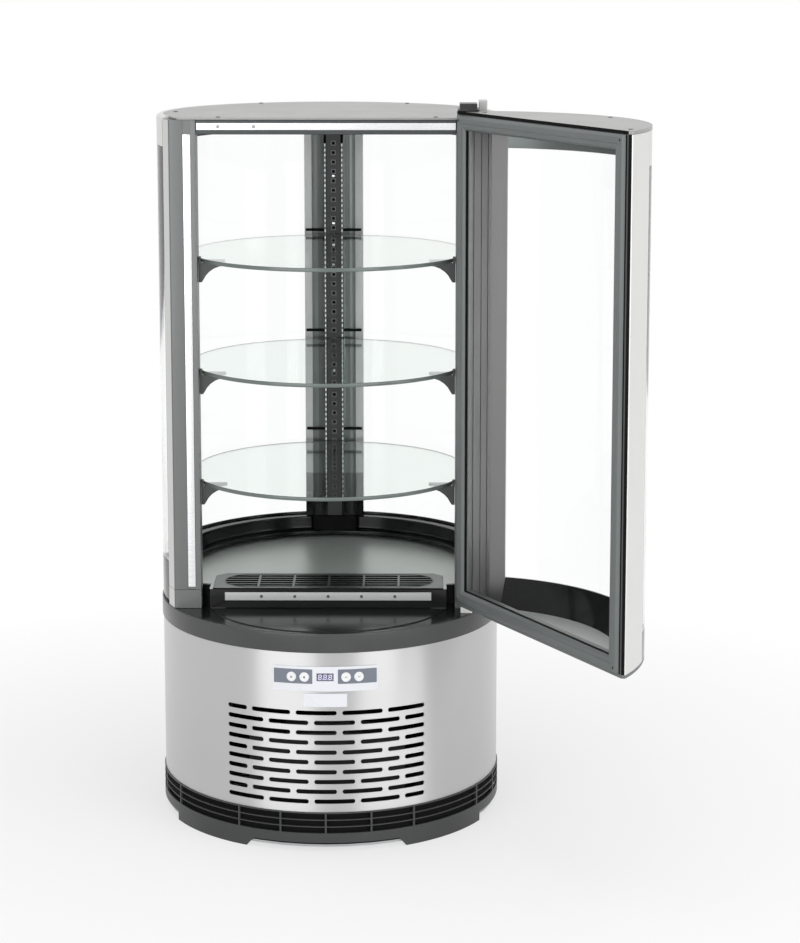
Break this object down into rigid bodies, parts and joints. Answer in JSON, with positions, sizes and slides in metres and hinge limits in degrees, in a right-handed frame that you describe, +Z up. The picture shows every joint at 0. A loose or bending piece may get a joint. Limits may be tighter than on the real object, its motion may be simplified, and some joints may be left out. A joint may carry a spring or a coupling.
{
  "type": "cake display case",
  "caption": "Round countertop cake display case: curved glass cabin with glass shelves, hinged curved door, and a vented metal base that holds the cooling machine and controls.",
  "frame": {"origin": "on the round base's axis, on the underside of the base pan, 5.5 mm above the table", "axes": "+Z up, -Y to the front where the door is, +X to the viewer's right where the door hangs; the table is at z = 0, and the door is at rest 119.5 degrees open"},
  "size_m": [0.6157, 0.6774, 0.948],
  "materials": {
    "brushed_steel": "brushed stainless sheet",
    "galvanised": "dull galvanised sheet",
    "black_gloss": "gloss black moulding",
    "button_white": "white plastic",
    "dark_plastic": "dark grey moulding, slight sheen",
    "compressor_paint": "black enamel",
    "fin_aluminium": "thin bare fins",
    "fan_plastic": "black plastic",
    "panel_film": "pale printed film",
    "silver_paint": "satin silver coating",
    "display_window": "dark glossy window",
    "grey_profile": "grey anodised profile",
    "rubber": "grey soft seal with magnetic strip",
    "clear_glass": "clear glass, faint green edge",
    "white_nylon": "white nylon",
    "black_steel": "black painted steel",
    "strike_steel": "bright steel strip"
  },
  "bodies": {
    "cabinet": {"air_grille": "brushed_steel", "base_pan": "galvanised", "base_shell_front": "brushed_steel", "base_shell_rear": "brushed_steel", "bottom_channel": "black_gloss", "cabin_floor": "black_gloss", "cable_gland": "dark_plastic", "collar_ring": "dark_plastic", "compressor": "compressor_paint", "condenser": "fin_aluminium", "condenser_fan_frame": "fan_plastic", "control_box": "dark_plastic", "control_panel": "panel_film", "crown_ring": "silver_paint", "deck_plate": "brushed_steel", "display_window": "display_window", "evaporator": "fin_aluminium", "evaporator_fan_frame": "fan_plastic", "glass_left": "clear_glass", "glass_right": "clear_glass", "header_beam": "grey_profile", "hinge_block": "white_nylon", "hinge_bracket": "black_steel", "hinge_cover": "silver_paint", "hinge_pin": "strike_steel", "lid": "silver_paint", "plinth_ring": "dark_plastic", "post_left": "grey_profile", "post_right": "grey_profile", "rear_column": "grey_profile", "shelf_1": "clear_glass", "shelf_2": "clear_glass", "shelf_3": "clear_glass", "shelf_rail": "black_steel", "strike_bottom": "strike_steel", "strike_left": "strike_steel", "strike_right": "strike_steel", "strike_top": "strike_steel", "support_1_left": "dark_plastic", "support_1_rear": "dark_plastic", "support_1_right": "dark_plastic", "support_2_left": "dark_plastic", "support_2_rear": "dark_plastic", "support_2_right": "dark_plastic", "support_3_left": "dark_plastic", "support_3_rear": "dark_plastic", "support_3_right": "dark_plastic"},
    "door": {"door_frame": "grey_profile", "door_gasket": "rubber", "door_glass": "clear_glass", "door_top_cap": "silver_paint", "door_bottom_tray": "black_gloss", "door_profile_hinge": "silver_paint", "door_profile_free": "silver_paint"},
    "button_body_1": {"button_1": "button_white"},
    "button_body_2": {"button_2": "button_white"},
    "button_body_3": {"button_3": "button_white"},
    "button_body_4": {"button_4": "button_white"},
    "condenser_fan": {"condenser_fan_blade": "fan_plastic"},
    "evaporator_fan": {"evaporator_fan_blade": "fan_plastic"}
  },
  "joints": [
    {"name": "door_hinge", "type": "hinge", "parent": "cabinet", "child": "door", "pos_m": [0.18, -0.1165, 0.6], "axis": [0, 0, 1], "range_deg": [-119.5, 10]},
    {"name": "button_1_press", "type": "slide", "parent": "cabinet", "child": "button_body_1", "axis": [0.19, 0.9818, 0], "range_m": [0, 0.001], "stiffness_N_per_m": 200},
    {"name": "button_2_press", "type": "slide", "parent": "cabinet", "child": "button_body_2", "axis": [0.1174, 0.9931, 0], "range_m": [0, 0.001], "stiffness_N_per_m": 200},
    {"name": "button_3_press", "type": "slide", "parent": "cabinet", "child": "button_body_3", "axis": [-0.1174, 0.9931, 0], "range_m": [0, 0.001], "stiffness_N_per_m": 200},
    {"name": "button_4_press", "type": "slide", "parent": "cabinet", "child": "button_body_4", "axis": [-0.19, 0.9818, 0], "range_m": [0, 0.001], "stiffness_N_per_m": 200},
    {"name": "condenser_fan_spin", "type": "hinge", "parent": "cabinet", "child": "condenser_fan", "pos_m": [0, -0.1227, 0.0735], "axis": [0, -1, 0], "continuous": true},
    {"name": "evaporator_fan_spin", "type": "hinge", "parent": "cabinet", "child": "evaporator_fan", "pos_m": [0, -0.0608, 0.2712], "axis": [0, 0, 1], "continuous": true}
  ]
}
